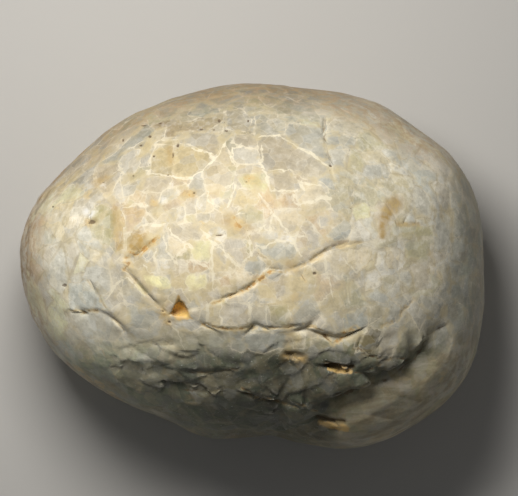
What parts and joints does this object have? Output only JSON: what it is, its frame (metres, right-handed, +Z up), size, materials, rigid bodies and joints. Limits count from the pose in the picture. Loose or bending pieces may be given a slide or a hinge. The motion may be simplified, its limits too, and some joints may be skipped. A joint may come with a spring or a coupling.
{
  "type": "fossil sea urchin",
  "caption": "Egg-shaped stone lump with a crushed mosaic skin, open cracks, a crumpled flank and a folded edge over a smooth lobe.",
  "frame": {"origin": "middle of the bounding box in plan, on the flat spot that the lump rests on", "axes": "+X from the pointed end to the blunt end, +Z up from the flat spot to the crown"},
  "size_m": [0.0782, 0.0616, 0.0463],
  "materials": {
    "weathered_calcite": "matte weathered calcite with pale veins and rust stain"
  },
  "bodies": {
    "root": {"fossil_urchin": "weathered_calcite"}
  },
  "joints": []
}
